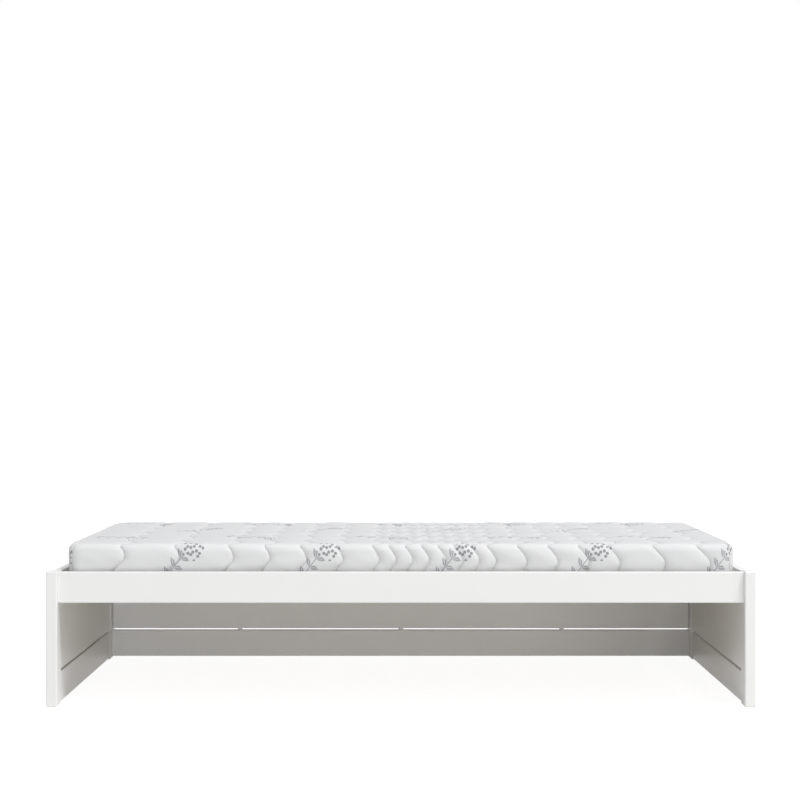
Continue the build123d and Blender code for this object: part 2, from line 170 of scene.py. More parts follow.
world = bpy.data.worlds.new("pale_room")
bpy.context.scene.world = world
world.use_nodes = True
tree = world.node_tree
tree.nodes.clear()
room_light = add_node(tree, "ShaderNodeBackground", {"Color": linear("#FCFDFF"), "Strength": 0.47})
white_wall = add_node(tree, "ShaderNodeBackground", {"Color": (1, 1, 1, 1), "Strength": 1.0})
wall = add_node(tree, "ShaderNodeMixShader", {
    0: seen_directly(tree), 1: room_light.outputs[0], 2: white_wall.outputs[0],
})
out = add_node(tree, "ShaderNodeOutputWorld", {"Surface": wall.outputs[0]})

# Each lamp: name, place, the point it faces, its width and height in metres, and its power in watts
for name, place, aim, width, height, power in (
    ("key_lamp", (10.0, -7.0, 22.0), (0.0, 0.0, 0.3), 6.0, 6.0, 3900.0),
    ("low_lamp", (5.0, -21.3, 1.3), (0.0, 0.0, 0.2), 16.0, 2.4, 980.0),
):
    lamp = bpy.data.objects.new(name, bpy.data.lights.new(name, "AREA"))
    lamp.data.shape = "RECTANGLE"
    lamp.data.size = width
    lamp.data.size_y = height
    lamp.data.energy = power
    lamp.location = place
    facing = Vector(aim) - Vector(place)
    lamp.rotation_euler = facing.to_track_quat("-Z", "Y").to_euler()
    bpy.context.scene.collection.objects.link(lamp)
# The low lamp fills the space under the deck, and the lacquer's sheen doesn't show it
lamp.visible_glossy = False


# Posts, rail and boards: fibreboard with rounded edges, sprayed with white satin lacquer after cutting.
# Satin lacquer shows broad, soft highlights. It dries with a faint orange peel of cells 1.5 mm across,
# and its sheen drifts a little over hand-wide areas. The dowels in the gaps are sprayed with the boards.

lacquer, tree, shader = new_material("satin_white_lacquer")
place = add_node(tree, "ShaderNodeTexCoord").outputs["Object"]
cloud = add_node(tree, "ShaderNodeTexNoise", {"Vector": place, "Scale": 1 / 0.12, "Detail": 2.0})
tone = add_node(tree, "ShaderNodeMix", {
    0: cloud.outputs["Fac"], 6: linear("#E8E8E7"), 7: linear("#EBEBEA"),
}, data_type="RGBA")
gloss = add_node(tree, "ShaderNodeMapRange", {0: cloud.outputs["Fac"], 3: 0.34, 4: 0.44})
peel = add_node(tree, "ShaderNodeTexNoise", {"Vector": place, "Scale": 1 / 0.0015, "Detail": 1.0})
relief = add_node(tree, "ShaderNodeBump", {
    "Height": peel.outputs["Fac"], "Strength": 0.12, "Distance": 0.00005,
})
tree.links.new(tone.outputs[2], shader.inputs["Base Color"])
tree.links.new(gloss.outputs[0], shader.inputs["Roughness"])
tree.links.new(relief.outputs["Normal"], shader.inputs["Normal"])
shader.inputs["IOR"].default_value = 1.5

for name, node in nodes.items():
    if name.endswith(("_post", "_board", "front_rail", "gap_dowels")):
        node.data.materials[0] = lacquer


# Tongues and hidden dowels: birch plywood strips glued into the grooves, and fluted beech pins.
# The plies show on edge as bands 1.5 mm thick, and turned beech has short brown flecks.

def wood_material(name, pale, dark, grain_axis, band, fleck):
    """Planed wood, dry and matt to the eye, with year rings as soft bands and pores as short dark flecks.

    Noise stretched along the grain makes the bands, and finer noise the pores. band and fleck are
    their widths across the grain in metres, and both are 25 times as long."""
    material, tree, shader = new_material(name)
    place = add_node(tree, "ShaderNodeTexCoord").outputs["Object"]
    tones = []
    for width in (band, fleck):
        scale = [1 / width] * 3
        scale[grain_axis] = 1 / (25 * width)
        stretched = add_node(tree, "ShaderNodeMapping", {"Vector": place, "Scale": scale})
        streaks = {"Vector": stretched.outputs[0], "Scale": 1.0, "Detail": 3.0, "Distortion": 0.4}
        tones.append(add_node(tree, "ShaderNodeTexNoise", streaks).outputs["Fac"])
    bands = add_node(tree, "ShaderNodeMapRange", {0: tones[0], 1: 0.35, 2: 0.68})
    pores = add_node(tree, "ShaderNodeMapRange", {0: tones[1], 1: 0.55, 2: 0.75, 3: 0.0, 4: 0.35})
    year_rings = add_node(tree, "ShaderNodeMix", {
        0: bands.outputs[0], 6: linear(pale), 7: linear(dark),
    }, data_type="RGBA")
    flecked = add_node(tree, "ShaderNodeMix", {
        0: pores.outputs[0], 6: year_rings.outputs[2], 7: linear("#8A6A45"),
    }, data_type="RGBA")
    dry = add_node(tree, "ShaderNodeMapRange", {0: tones[0], 3: 0.52, 4: 0.68})
    relief = add_node(tree, "ShaderNodeBump", {"Height": tones[1], "Strength": 0.35, "Distance": 0.0003})
    tree.links.new(flecked.outputs[2], shader.inputs["Base Color"])
    tree.links.new(dry.outputs[0], shader.inputs["Roughness"])
    tree.links.new(relief.outputs["Normal"], shader.inputs["Normal"])
    return material


plywood = wood_material("birch_plywood", "#E3CFA8", "#C6A679", 2, 0.0015, 0.0006)
for name in ("left_board_tongues", "right_board_tongues"):
    nodes[name].data.materials[0] = plywood
beech = wood_material("turned_beech", "#D9B48A", "#C2956A", 0, 0.003, 0.0008)
nodes["back_board_dowels"].data.materials[0] = beech


# Bolts: each joint of rail or back board is drawn up by flat-headed furniture bolts with hexagon
# sockets, turned from steel rod and nickel plated. Barrel nuts of zinc-plated steel take their threads.

def grid_faces(rows, columns, closed=False):
    """The quads between neighbouring points of a grid kept row by row.

    closed joins the last column to the first."""
    number = np.arange(rows * columns).reshape(rows, columns)
    if closed:
        number = np.hstack([number, number[:, :1]])
    corners = [number[:-1, :-1], number[:-1, 1:], number[1:, 1:], number[1:, :-1]]
    return np.stack(corners, axis=-1).reshape(-1, 4)


def turned_grid(profile, facets):
    """A round bar along X from its profile, with rows of (radius, depth, width across flats).

    A row with no flats is a circle. One with flats is a hexagon: its radius at angle t is half the
    flats over cos(t - the nearest sixth of a turn)."""
    angle = np.arange(facets) * 2 * pi / facets
    off_flat = (angle + pi / 6) % (pi / 3) - pi / 6
    radius = np.array([
        flats / 2 / np.cos(off_flat) if flats else np.full(facets, row_radius)
        for row_radius, row_depth, flats in profile
    ])
    depth = np.repeat(np.array([[row[1]] for row in profile]), facets, axis=1)
    points = np.stack([depth, radius * np.cos(angle), radius * np.sin(angle)], axis=-1)
    return points.reshape(-1, 3), grid_faces(len(profile), facets, closed=True)


def repeated(points, faces, places, turns=None):
    """One shape set at many places: its points are turned by each place's 3 x 3 matrix and moved there."""
    turns = np.broadcast_to(np.eye(3), (len(places), 3, 3)) if turns is None else np.asarray(turns, float)
    moved = np.einsum("nij,pj->npi", turns, points) + np.asarray(places, float)[:, None, :]
    numbers = np.asarray(faces)[None] + (np.arange(len(places)) * len(points))[:, None, None]
    return moved.reshape(-1, 3), numbers.reshape(-1, numbers.shape[-1])


def plated_steel(name, colour, roughness):
    """Plated steel: a dull mirror whose roughness drifts with the plating.

    Hairlines left by the lathe lie 0.2 mm apart under it."""
    material, tree, shader = new_material(name)
    place = add_node(tree, "ShaderNodeTexCoord").outputs["Object"]
    haze = add_node(tree, "ShaderNodeTexNoise", {"Vector": place, "Scale": 1 / 0.004, "Detail": 3.0})
    lathe = add_node(tree, "ShaderNodeTexNoise", {"Vector": place, "Scale": 1 / 0.0002, "Detail": 1.0})
    dulled = add_node(tree, "ShaderNodeMapRange", {
        0: haze.outputs["Fac"], 3: roughness - 0.06, 4: roughness + 0.1,
    })
    relief = add_node(tree, "ShaderNodeBump", {
        "Height": lathe.outputs["Fac"], "Strength": 0.1, "Distance": 0.00002,
    })
    shader.inputs["Base Color"].default_value = linear(colour)
    shader.inputs["Metallic"].default_value = 1.0
    tree.links.new(dulled.outputs[0], shader.inputs["Roughness"])
    tree.links.new(relief.outputs["Normal"], shader.inputs["Normal"])
    return material


nickel = plated_steel("nickel_plated_steel", "#C9C6BF", 0.26)
zinc = plated_steel("zinc_plated_steel", "#BFC3C7", 0.36)
# A socket 4 mm across its flats, a flat head 15 mm wide, and a shank of 6 mm
bolt_profile = [
    (0.0, 2.0, 0), (0.0, 2.0, 3.9), (0.0, 0.15, 4.0),
    (2.6, 0.0, 0), (6.8, 0.0, 0), (7.4, 0.3, 0), (7.5, 0.9, 0), (7.5, 3.0, 0),
    (3.2, 3.0, 0), (3.0, 3.3, 0), (3.0, 72.2, 0), (2.4, 73.0, 0), (0.0, 73.0, 0),
]
bolt_points, bolt_faces = turned_grid(bolt_profile, 36)
left_to_right = np.eye(3)
right_to_left = np.diag([-1.0, -1.0, 1.0])
post_outside = -1000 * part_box("left_front_post")[0].x
# Each group of bolts: its node, the Y of its row and the height of each bolt
for name, y_middle, heights in (
    ("front_rail_bolts", -480.0, (322.0, 372.0)),
    ("back_board_bolts", 481.0, (50.0, 151.0, 341.0)),
):
    places = [(side * post_outside, y_middle, z) for side in (-1, 1) for z in heights]
    turns = [left_to_right] * len(heights) + [right_to_left] * len(heights)
    points, faces = repeated(bolt_points, bolt_faces, places, turns)
    bolts = mesh_piece(name + "_turned", points, faces, nickel)
    bolts.data.set_sharp_from_angle(angle=radians(40))
    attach(bolts, "root")
    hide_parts(name)
nodes["front_rail_nuts"].data.materials[0] = zinc
nodes["back_board_nuts"].data.materials[0] = zinc


# Ledgers: planed pine strips under the slats' ends, glued and screwed to the rail and the back board.
# The screws are zinc plated and sit with their cross-recessed heads just proud of the pine.

pine_along = wood_material("planed_pine_ledger", "#E8D2A6", "#D2AE78", 0, 0.009, 0.0012)
nodes["front_ledger"].data.materials[0] = pine_along
nodes["rear_ledger"].data.materials[0] = pine_along


def screw_head(radius, rise):
    """A domed screw head facing +Z, on a grid of radius and angle, with a cross pressed into it.

    The height is rise times 1 - (r / radius)^2, less the cross where x or y is under a tenth of the
    width and r under two thirds of the radius. A last row closes the head underneath, in the wood."""
    rings = np.append(np.linspace(0, radius, 7), 0)
    r, angle = np.meshgrid(rings, np.arange(24) * pi / 12, indexing="ij")
    x, y = r * np.cos(angle), r * np.sin(angle)
    cross = (np.minimum(abs(x), abs(y)) < 0.2 * radius) & (r < 0.67 * radius)
    height = rise * (1 - (r / radius) ** 2) - np.where(cross, 0.6 * rise, 0.0)
    height[-1] = -0.3
    return np.stack([x, y, height], axis=-1).reshape(-1, 3), grid_faces(8, 24, closed=True)


head_points, head_faces = screw_head(3.8, 1.4)
ledger_screw_x = np.linspace(-890, 890, 9)
facing_back = [[1, 0, 0], [0, 0, 1], [0, -1, 0]]
facing_front = [[1, 0, 0], [0, 0, -1], [0, 1, 0]]
ledger_face_front, ledger_face_rear, ledger_middle = -441.0, 442.0, 314.0
places = [(x, y, ledger_middle) for y in (ledger_face_front, ledger_face_rear) for x in ledger_screw_x]
turns = [facing_back] * len(ledger_screw_x) + [facing_front] * len(ledger_screw_x)
ledger_screws = mesh_piece("ledger_screws", *repeated(head_points, head_faces, places, turns), zinc)
ledger_screws.data.set_sharp_from_angle(angle=radians(35))
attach(ledger_screws, "root")


# Slats: fifteen planed pine boards laid across the ledgers. A webbing tape stapled under them near
# each end keeps their spacing, and a screw at each end of the outer slats holds the row in place.

pine_across = wood_material("planed_pine_slat", "#EAD6AE", "#D6B482", 1, 0.011, 0.0013)
for name, node in nodes.items():
    if name.startswith("slat_"):
        node.data.materials[0] = pine_across

# Woven plastic tape: a faint sheen over a plain weave of flat yarns
webbing, tree, shader = new_material("woven_polypropylene_webbing")
place = add_node(tree, "ShaderNodeTexCoord").outputs["Object"]
# A wave texture's bands lie 0.314 units apart at scale 1, and the real yarns are 2 mm apart
warp = add_node(tree, "ShaderNodeTexWave", {"Vector": place, "Scale": 0.314 / 0.002}, bands_direction="X")
weft = add_node(tree, "ShaderNodeTexWave", {"Vector": place, "Scale": 0.314 / 0.002}, bands_direction="Y")
weave = add_node(tree, "ShaderNodeMath", {
    0: warp.outputs["Fac"], 1: weft.outputs["Fac"],
}, operation="MULTIPLY")
yarn = add_node(tree, "ShaderNodeMix", {
    0: weave.outputs[0], 6: linear("#C9C8C2"), 7: linear("#E6E5E0"),
}, data_type="RGBA")
relief = add_node(tree, "ShaderNodeBump", {"Height": weave.outputs[0], "Strength": 0.6, "Distance": 0.0004})
tree.links.new(yarn.outputs[2], shader.inputs["Base Color"])
tree.links.new(relief.outputs["Normal"], shader.inputs["Normal"])
shader.inputs["Roughness"].default_value = 0.55
for name in ("front_slat_tape", "rear_slat_tape"):
    nodes[name].data.materials[0] = webbing


def close_openings(piece):
    """Closes each open side or end of a piece with a flat face."""
    shape = bmesh.new()
    shape.from_mesh(piece.data)
    bmesh.ops.holes_fill(shape, edges=shape.edges)
    bmesh.ops.recalc_face_normals(shape, faces=shape.faces)
    shape.to_mesh(piece.data)
    shape.free()


slat_x = [500 * (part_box(name)[0].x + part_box(name)[1].x) for name in nodes if name.startswith("slat_")]
tape_underside = 1000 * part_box("front_slat_tape")[0].z
tape_y, from_slat_middle = 310.0, 18.0
crown_run = np.linspace(-5.5, 5.5, 12)
wire_angle = np.arange(8) * pi / 4
wire_along, wire_round = np.meshgrid(crown_run, wire_angle, indexing="ij")
# A staple's crown is a wire that dips into the tape at both ends: its middle is at 0.9 (x / 5.5)^8 - 0.3
wire_radius = 0.35
staple_points = np.stack([
    wire_along,
    wire_radius * np.cos(wire_round),
    wire_radius * np.sin(wire_round) - 0.3 + 0.9 * (wire_along / 5.5) ** 8,
], axis=-1).reshape(-1, 3)
staple_faces = grid_faces(12, 8, closed=True)
places = [
    (x + dx, y, tape_underside)
    for x in slat_x for dx in (-from_slat_middle, from_slat_middle) for y in (-tape_y, tape_y)
]
staples = mesh_piece("tape_staples", *repeated(staple_points, staple_faces, places), zinc)
close_openings(staples)
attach(staples, "root")

flat_points, flat_faces = screw_head(3.6, 0.25)
slat_top = 1000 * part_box("slat_01")[1].z
over_ledgers = (-452.0, 453.0)
places = [(x, y, slat_top) for x in (min(slat_x), max(slat_x)) for y in over_ledgers]
slat_screws = mesh_piece("slat_screws", *repeated(flat_points, flat_faces, places), zinc)
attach(slat_screws, "root")


# Mattress cover: white knitted cloth, quilted to its wadding and drawn tight over a foam core. Its wavy
# seams run over the top and down the front and back. Seen close, the knit is matt, with faint ribs.

half_length, half_width, mattress_middle = 982.5, 450.0, -6.0
corner_radius, edge_radius = 38.0, 22.0
cover_low, cover_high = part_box("mattress_cover")
# The wadding lofts the cloth a little above the plain form
loft = 4.5
cover_bottom, mattress_top = 1000 * cover_low.z, 1000 * cover_high.z + loft
crown, crown_margin = 3.0, 180.0
side_drop = mattress_top - crown - cover_bottom
cover_form = (half_length, half_width, corner_radius, edge_radius, mattress_top, crown)


def smooth_step(t):
    """0 below 0 and 1 above 1, with the curve 3 t^2 - 2 t^3 between."""
    t = np.clip(t, 0, 1)
    return t * t * (3 - 2 * t)


def wrapped(x, y, drop, half_x, half_y, corner, edge, top, crown_height):
    """Points and outward normals of a block wrapped in cloth.

    It takes places on a square-cornered plan, and how far each has dropped down the block's side.
    Near a corner the plan's square rings become round ones: a place (u, v) past the start of the
    corner moves to max(u, v) along its own direction. Within edge of the rim, and as far down the
    side, the path bends along a quarter circle, and below that it runs straight down. The top
    rises from the rim by crown_height times 1 - (1 - d / crown_margin)^2, with d the distance in."""
    u = np.maximum(abs(x) - (half_x - corner), 0)
    v = np.maximum(abs(y) - (half_y - corner), 0)
    slant = np.maximum(np.hypot(u, v), 1e-9)
    ring = np.maximum(u, v) / slant
    out_x, out_y = np.sign(x) * u / slant, np.sign(y) * v / slant
    inset = np.minimum(half_x - abs(x), half_y - abs(y))
    turn = pi / 2 * np.clip((np.clip(edge - inset, 0, edge) + drop) / (2 * edge), 0, 1)
    rolled_inset = edge * (1 - np.sin(turn))
    push = np.where(inset < edge, inset - rolled_inset, 0)
    rise = crown_height * (1 - (1 - np.clip(inset / crown_margin, 0, 1)) ** 2)
    points = np.stack([
        np.sign(x) * (np.minimum(abs(x), half_x - corner) + u * ring) + out_x * push,
        np.sign(y) * (np.minimum(abs(y), half_y - corner) + v * ring) + out_y * push,
        top - crown_height + rise - edge * (1 - np.cos(turn)) - np.maximum(drop - edge, 0),
    ], axis=-1)
    normals = np.stack([out_x * np.sin(turn), out_y * np.sin(turn), np.cos(turn)], axis=-1)
    return points, normals


def box_patches(columns, rows, drops, half_x, half_y):
    """The five patches of a box without its floor, each as arrays of plan x, plan y and drop."""
    top_x, top_y = np.meshgrid(columns, rows)
    side_x, side_drop_x = np.meshgrid(columns, drops)
    side_y, side_drop_y = np.meshgrid(rows, drops)
    return {
        "top": (top_x, top_y, np.zeros_like(top_x)),
        "front": (side_x, np.full_like(side_x, -half_y), side_drop_x),
        "back": (side_x, np.full_like(side_x, half_y), side_drop_x),
        "left": (np.full_like(side_y, -half_x), side_y, side_drop_y),
        "right": (np.full_like(side_y, half_x), side_y, side_drop_y),
    }


def joined(patches):
    """Grids of points, each with its places on the flat cloth, as one list of points, faces and places."""
    points, faces, cloth, start = [], [], [], 0
    for grid, flat in patches:
        points.append(grid.reshape(-1, 3))
        faces.append(grid_faces(*grid.shape[:2]) + start)
        cloth.append(flat.reshape(-1, 2))
        start += len(points[-1])
    return np.concatenate(points), np.concatenate(faces), np.concatenate(cloth)


def spaced(low, high, step):
    """Even places from low to high, at most step apart."""
    return np.linspace(low, high, max(int(np.ceil((high - low) / step)), 1) + 1)


# Seams across the mattress, closer over the hips than at the ends
seam_x = [169.5 - half_length]
for count, pitch in ((2, 159.0), (4, 106.0), (7, 48.4), (4, 89.5), (2, 130.0)):
    seam_x += [seam_x[-1] + pitch * (i + 1) for i in range(count)]
seam_x = np.array(seam_x)
seam_depth = 9.0


def sewn_down(distance):
    """How deep a seam pulls the cloth, from 1 at its thread down to 0.

    Half of it is a tight crease and half the wide round of the wadding, each an exponential."""
    return 0.5 * np.exp(-distance / 4.5) + 0.5 * np.exp(-distance / 20.0)


# Columns lie close together at each seam and wider between, and follow the seams' waves
beside_seam = np.array([0, 1.6, 3.6, 6.5, 10.5, 16.0])
beside_seam = np.unique(np.concatenate([-beside_seam, beside_seam]))
columns = [spaced(-half_length, -half_length + edge_radius, 4)]
edges = np.concatenate([[-half_length + edge_radius - 16], seam_x, [half_length - edge_radius + 16]])
for low, high in zip(edges[:-1], edges[1:]):
    columns.append(spaced(low + 16, high - 16, 12))
columns += [x + beside_seam for x in seam_x]
columns.append(spaced(half_length - edge_radius, half_length, 4))
columns = np.unique(np.round(np.concatenate(columns), 3))
rows = np.concatenate([
    spaced(-half_width, -half_width + edge_radius, 4),
    spaced(-half_width + edge_radius, half_width - edge_radius, 7)[1:-1],
    spaced(half_width - edge_radius, half_width, 4),
])
drops = np.concatenate([spaced(0, edge_radius, 4), spaced(edge_radius, side_drop, 6)[1:]])

top_wave, side_wave, end_wave = 15.0, 9.0, 8.0
top_period, side_period = 2 * half_width / 5.5, 84.0
fan = 0.035
# Towards the ends of the mattress the seams' waves flatten
flatten_from, flatten_over = 890.0, 85.0


def down_the_side(drop):
    """The length of cloth from the rim down to a drop: a rounded edge is pi / 4 as long as its two insets."""
    return np.where(drop < edge_radius, drop * pi / 4, drop - edge_radius * (1 - pi / 4))


def seam_swing(x, along, side_length, at_back):
    """How far a seam swings in X: on the top by -cos(2 pi along / period), and in shorter waves down a side.

    Down a side the seams also spread from the middle, by up to fan times x."""
    height = top_wave + (side_wave - top_wave) * smooth_step(side_length / 20)
    sign = np.where(at_back, 1.0, -1.0)
    on_top = -top_wave * np.cos(2 * pi * along / top_period)
    spread = fan * x * smooth_step((side_length - 5) / 80)
    on_side = sign * height * np.cos(2 * pi * side_length / side_period) + spread
    waving = 1 - smooth_step((abs(x) - flatten_from) / flatten_over)
    return waving * np.where(side_length > 0, on_side, on_top)


# The filling's slow drift is a sum of sines in random directions, and each seam's gathers start at random
undulation = np.random.default_rng(7)
wave_vectors = undulation.normal(size=(14, 3)) / np.array([170.0, 150.0, 90.0])
wave_phases = undulation.uniform(0, 2 * pi, 14)
seam_phases = undulation.uniform(0, 2 * pi, (2, len(seam_x)))


def puckers(seam_number, distance, along):
    """Small gathers that run out from a seam: two sines along it, dying away with the distance from it."""
    first = np.sin(2 * pi * along / 13.0 + seam_phases[0][seam_number])
    second = np.sin(2 * pi * along / 8.3 + seam_phases[1][seam_number])
    return 0.45 * (first + 0.6 * second) * np.exp(-((distance - 7) / 7) ** 2)


def side_form(x, y, drop):
    """How far a side stands out of a plain block, and about a third as far at the corners.

    Down its length t, from 0 at the top of the rounded edge to 1 at the hem, it swells by
    7 sin(pi t^0.75), fullest in its upper half, and it is drawn in by 8 t^2 towards the hem."""
    inset_x, inset_y = half_length - abs(x), half_width - abs(y)
    travelled = np.clip(edge_radius - np.minimum(inset_x, inset_y), 0, edge_radius) + drop
    t = travelled / (edge_radius + side_drop)
    swell = 7.0 * np.sin(pi * t ** 0.75) * smooth_step(travelled / 16) - 8.0 * t ** 2
    return swell * (0.35 + 0.65 * smooth_step((inset_x + inset_y) / 120))


dart_depth, dart_reach, drift_height = 3.5, 48.0, 0.22
cover_patches, seam_distance = [], []
end_seams = np.array([-300.0, -150.0, 0.0, 150.0, 300.0])
for patch, (x, y, drop) in box_patches(columns, rows, drops, half_length, half_width).items():
    side_length = down_the_side(drop)
    if patch in ("left", "right"):
        swing = end_wave * np.sin(2 * pi * side_length / side_period) * smooth_step(drop / 30)
        waving = 1 - smooth_step((abs(y) - 320) / 80)
        distance = np.min(abs(y[..., None] - end_seams), axis=-1)
        quilting = -seam_depth * smooth_step((drop - 4) / 26) * sewn_down(distance)
        plan_x, plan_y = x, y + swing * waving
        cloth = np.stack([np.sign(x) * (half_length + side_length), plan_y], axis=-1)
    else:
        number = np.argmin(abs(x[..., None] - seam_x), axis=-1)
        distance = abs(x - seam_x[number])
        along = y + half_width
        # Towards the back the seams are only half as deep
        back_ease = 1 - 0.5 * smooth_step((along - 820) / 60)
        quilting = -seam_depth * back_ease * sewn_down(distance)
        travelled = np.where(patch == "back", along + side_length, along - side_length)
        quilting = quilting + puckers(number, distance, travelled)
        plan_x = x + seam_swing(x, along, side_length, patch == "back")
        plan_y = y
        cloth = np.stack([plan_x, travelled - half_width], axis=-1)
    points, normals = wrapped(plan_x, plan_y, drop, *cover_form)
    inset_x, inset_y = half_length - abs(x), half_width - abs(y)
    swell = side_form(x, y, drop)
    # A short dart is sewn into each corner, and the filling drifts by about a millimetre
    near_corner = smooth_step((dart_reach - np.minimum(inset_x, inset_y)) / 30)
    dart = -dart_depth * np.exp(-abs(inset_x - inset_y) / 5.0) * near_corner
    drift = drift_height * np.sin(points @ wave_vectors.T * 2 * pi + wave_phases).sum(axis=-1)
    free_of_hem = smooth_step((side_drop - drop) / 20)
    points = points + normals * ((quilting + drift + dart) * free_of_hem + swell)[..., None]
    points[..., 1] += mattress_middle
    cover_patches.append((points, cloth))
    seam_distance.append(distance.ravel())


def knitted_cloth(name, pale, dark, loop_gap):
    """A knitted cloth, soft and quite matt, whose loops are loop_gap metres apart on its UV map.

    The loops are ribs times courses, and the yarn's tone drifts over patches the width of a hand.
    Its tree, shader, map and yarn colour come with it."""
    material, tree, shader = new_material(name)
    cloth_map = add_node(tree, "ShaderNodeUVMap", uv_map="cloth").outputs["UV"]
    ribs = add_node(tree, "ShaderNodeTexWave", {
        "Vector": cloth_map, "Scale": 0.314 / loop_gap, "Distortion": 0.6, "Detail": 1.0,
    }, bands_direction="X")
    courses = add_node(tree, "ShaderNodeTexWave", {
        "Vector": cloth_map, "Scale": 0.25 / loop_gap, "Distortion": 0.6,
    }, bands_direction="Y")
    loops = add_node(tree, "ShaderNodeMath", {
        0: ribs.outputs["Fac"], 1: courses.outputs["Fac"],
    }, operation="MULTIPLY")
    blotch = add_node(tree, "ShaderNodeTexNoise", {"Vector": cloth_map, "Scale": 1 / 0.09, "Detail": 3.0})
    yarn = add_node(tree, "ShaderNodeMix", {
        0: blotch.outputs["Fac"], 6: linear(pale), 7: linear(dark),
    }, data_type="RGBA")
    relief = add_node(tree, "ShaderNodeBump", {
        "Height": loops.outputs[0], "Strength": 0.35, "Distance": 0.0005,
    })
    tree.links.new(yarn.outputs[2], shader.inputs["Base Color"])
    tree.links.new(relief.outputs["Normal"], shader.inputs["Normal"])
    shader.inputs["Roughness"].default_value = 0.85
    shader.inputs["Sheen Weight"].default_value = 0.15
    shader.inputs["Sheen Roughness"].default_value = 0.5
    return material, tree, shader, cloth_map, yarn.outputs[2]


# The real cloth's loops are 1.6 mm apart and are drawn 3 mm apart, so that they show
knit, tree, shader, cloth_map, yarn = knitted_cloth("white_knitted_ticking", "#DBDBDC", "#E1E1E1", 0.003)

# The print: a leafy sprig with a bunch of berries in each cell of 400 x 290 mm, every second row moved
# by half a cell. The cell is counted as 320 x 232 units, so the sprig, drawn 150 units long, prints at
# five quarters of that in mm
cells = add_node(tree, "ShaderNodeVectorMath", {0: cloth_map, 1: (0.07, 0.66, 0)}, operation="ADD")
counted = add_node(tree, "ShaderNodeVectorMath", {0: cells.outputs[0], 1: (0.4, 0.29, 1)}, operation="DIVIDE")
cell = add_node(tree, "ShaderNodeSeparateXYZ", {0: counted.outputs[0]})
row = add_node(tree, "ShaderNodeMath", {0: cell.outputs["Y"]}, operation="FLOOR")
odd = add_node(tree, "ShaderNodeMath", {0: row.outputs[0], 1: 2.0}, operation="FLOORED_MODULO")
moved = add_node(tree, "ShaderNodeMath", {
    0: odd.outputs[0], 1: 0.5, 2: cell.outputs["X"],
}, operation="MULTIPLY_ADD")
staggered = add_node(tree, "ShaderNodeCombineXYZ", {0: moved.outputs[0], 1: cell.outputs["Y"]})
within = add_node(tree, "ShaderNodeVectorMath", {0: staggered.outputs[0]}, operation="FRACTION")
centred = add_node(tree, "ShaderNodeVectorMath", {
    0: within.outputs[0], 1: (0.5, 0.5, 0),
}, operation="SUBTRACT")
in_units = add_node(tree, "ShaderNodeVectorMath", {
    0: centred.outputs[0], 1: (320, 232, 0),
}, operation="MULTIPLY")
lean = add_node(tree, "ShaderNodeMath", {0: odd.outputs[0], 1: 1.2, 2: -0.75}, operation="MULTIPLY_ADD")
leaned = add_node(tree, "ShaderNodeVectorRotate", {
    "Vector": in_units.outputs[0], "Angle": lean.outputs[0],
}, rotation_type="Z_AXIS")
sprig = add_node(tree, "ShaderNodeSeparateXYZ", {0: leaned.outputs[0]})
# The stem is a sine curve. Leaves with a pale vein stand in pairs along it, each an ellipse
bend = add_node(tree, "ShaderNodeMath", {0: sprig.outputs["X"], 1: 1 / 38}, operation="MULTIPLY")
curve = add_node(tree, "ShaderNodeMath", {0: bend.outputs[0]}, operation="SINE")
from_stem = add_node(tree, "ShaderNodeMath", {
    0: curve.outputs[0], 1: -7.0, 2: sprig.outputs["Y"],
}, operation="MULTIPLY_ADD")
beside_stem = add_node(tree, "ShaderNodeMath", {0: from_stem.outputs[0]}, operation="ABSOLUTE")
leaf_step = add_node(tree, "ShaderNodeMath", {0: sprig.outputs["X"], 1: 13.0, 2: -13.0}, operation="WRAP")
leaf_place = add_node(tree, "ShaderNodeCombineXYZ", {0: leaf_step.outputs[0], 1: beside_stem.outputs[0]})
leaf_turned = add_node(tree, "ShaderNodeVectorRotate", {
    "Vector": leaf_place.outputs[0], "Angle": -radians(52),
}, rotation_type="Z_AXIS")
leaf_centred = add_node(tree, "ShaderNodeVectorMath", {
    0: leaf_turned.outputs[0], 1: (13, 0, 0),
}, operation="SUBTRACT")
leaf_scaled = add_node(tree, "ShaderNodeVectorMath", {
    0: leaf_centred.outputs[0], 1: (11, 4.6, 1),
}, operation="DIVIDE")
leaf_edge = add_node(tree, "ShaderNodeVectorMath", {0: leaf_scaled.outputs[0]}, operation="LENGTH")
leaf = add_node(tree, "ShaderNodeMapRange", {0: leaf_edge.outputs["Value"], 1: 0.92, 2: 1.08, 3: 1.0, 4: 0.0})
leaf_sides = add_node(tree, "ShaderNodeSeparateXYZ", {0: leaf_turned.outputs[0]})
from_vein = add_node(tree, "ShaderNodeMath", {0: leaf_sides.outputs["Y"]}, operation="ABSOLUTE")
vein = add_node(tree, "ShaderNodeMapRange", {0: from_vein.outputs[0], 1: 0.4, 2: 0.9})
veined = add_node(tree, "ShaderNodeMath", {0: leaf.outputs[0], 1: vein.outputs[0]}, operation="MULTIPLY")
stem = add_node(tree, "ShaderNodeMapRange", {0: beside_stem.outputs[0], 1: 0.9, 2: 1.4, 3: 1.0, 4: 0.0})
leaf_or_stem = add_node(tree, "ShaderNodeMath", {
    0: veined.outputs[0], 1: stem.outputs[0],
}, operation="MAXIMUM")
along_sprig = add_node(tree, "ShaderNodeMath", {0: sprig.outputs["X"], 1: 13.0}, operation="ADD")
off_middle = add_node(tree, "ShaderNodeMath", {0: along_sprig.outputs[0]}, operation="ABSOLUTE")
sprig_length = add_node(tree, "ShaderNodeMath", {0: off_middle.outputs[0], 1: 52.0}, operation="LESS_THAN")
greenery = add_node(tree, "ShaderNodeMath", {
    0: leaf_or_stem.outputs[0], 1: sprig_length.outputs[0],
}, operation="MULTIPLY")
